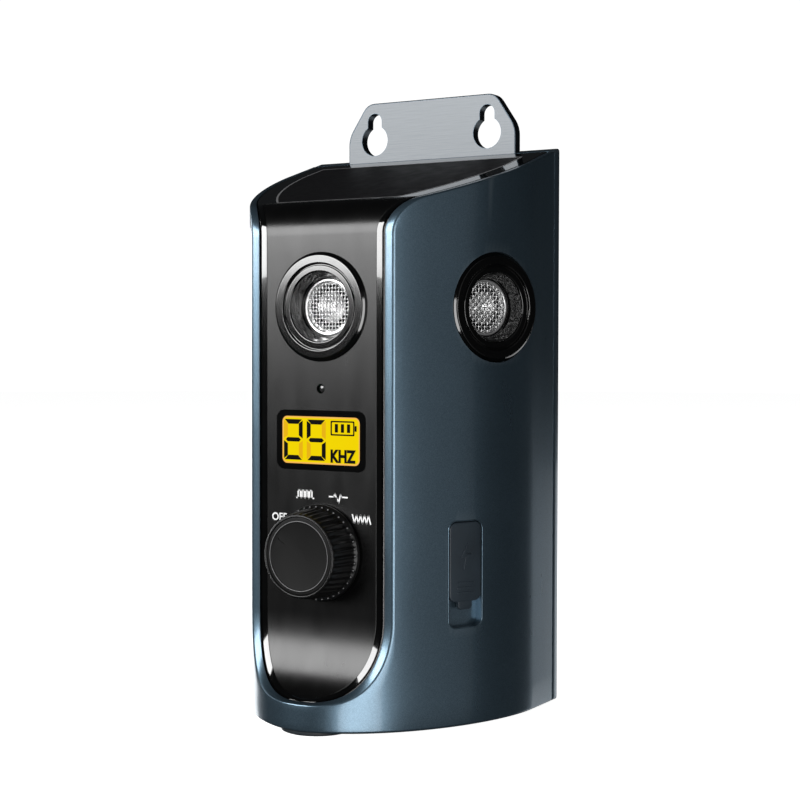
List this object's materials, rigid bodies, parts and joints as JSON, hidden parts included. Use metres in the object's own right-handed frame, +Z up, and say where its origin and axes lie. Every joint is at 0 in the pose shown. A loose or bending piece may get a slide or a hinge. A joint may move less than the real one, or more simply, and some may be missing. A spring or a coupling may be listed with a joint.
{
  "type": "ultrasonic pest repeller",
  "caption": "Free-standing or wall-hung ultrasonic pest repeller with a solar top, front and side speakers, a backlit display, a mode knob and a hanger plate.",
  "frame": {"origin": "middle of the bounding box in plan, on the plane the feet stand on", "axes": "+Z up, the panel and the knob face -Y, +X is the side with the charging port"},
  "size_m": [0.1116, 0.0919, 0.223],
  "materials": {
    "blue_grey_plastic": "metallic blue-grey paint on ABS",
    "gloss_black_plastic": "gloss black",
    "satin_black_plastic": "satin black",
    "black_rubber": "matt black rubber",
    "brushed_plate": "brushed steel plate",
    "screw_steel": "blackened screw steel",
    "bright_aluminium": "bright turned aluminium",
    "cone_metal": "satin",
    "clear_acrylic": "clear acrylic with a black printed border",
    "amber_display": "backlit amber LCD",
    "solar_glass": "dark solar cells under clear resin",
    "pale_seal": "pale grey line",
    "indicator": "dark tinted lens",
    "board_green": "solder mask",
    "switch_blue": "moulded",
    "cell_wrap": "PVC wrapped lithium cell, density close to aluminium"
  },
  "bodies": {
    "case": {"front_shell": "blue_grey_plastic", "rear_cover": "blue_grey_plastic", "fascia_panel": "gloss_black_plastic", "speaker_bezel_front": "gloss_black_plastic", "speaker_bezel_right": "gloss_black_plastic", "speaker_bezel_left": "gloss_black_plastic", "front_overlay": "satin_black_plastic", "battery_tray": "satin_black_plastic", "foot_front": "black_rubber", "foot_left": "black_rubber", "foot_right": "black_rubber", "port_cover_anchor": "black_rubber", "rear_gasket": "black_rubber", "hanger_plate": "brushed_plate", "usb_socket": "brushed_plate", "speaker_mesh_front": "brushed_plate", "speaker_mesh_right": "brushed_plate", "speaker_mesh_left": "brushed_plate", "case_screw_1": "screw_steel", "case_screw_2": "screw_steel", "case_screw_3": "screw_steel", "case_screw_4": "screw_steel", "hanger_screw_left": "screw_steel", "hanger_screw_right": "screw_steel", "transducer_can_front": "bright_aluminium", "transducer_can_right": "bright_aluminium", "transducer_can_left": "bright_aluminium", "speaker_cone_front": "cone_metal", "speaker_cone_right": "cone_metal", "speaker_cone_left": "cone_metal", "display_window": "clear_acrylic", "lcd_glass": "amber_display", "lcd_backlight": "amber_display", "solar_panel": "solar_glass", "solar_seal": "pale_seal", "indicator_led": "indicator", "main_board": "board_green", "charge_board": "board_green", "rotary_switch": "switch_blue", "battery_cell_left": "cell_wrap", "battery_cell_right": "cell_wrap"},
    "knob": {"mode_knob": "gloss_black_plastic", "knob_cap": "satin_black_plastic", "knob_shaft": "brushed_plate"},
    "flap": {"port_cover": "black_rubber"}
  },
  "joints": [
    {"name": "knob_turn", "type": "hinge", "parent": "case", "child": "knob", "pos_m": [0, -0.0308, 0.06], "axis": [0, 1, 0], "range_deg": [0, 112]},
    {"name": "port_cover_hinge", "type": "hinge", "parent": "case", "child": "flap", "pos_m": [0.04422, -0.0087, 0.0709], "axis": [-0.4346, -0.9006, 0], "range_deg": [0, 110], "stiffness_Nm_per_rad": 0.002}
  ]
}
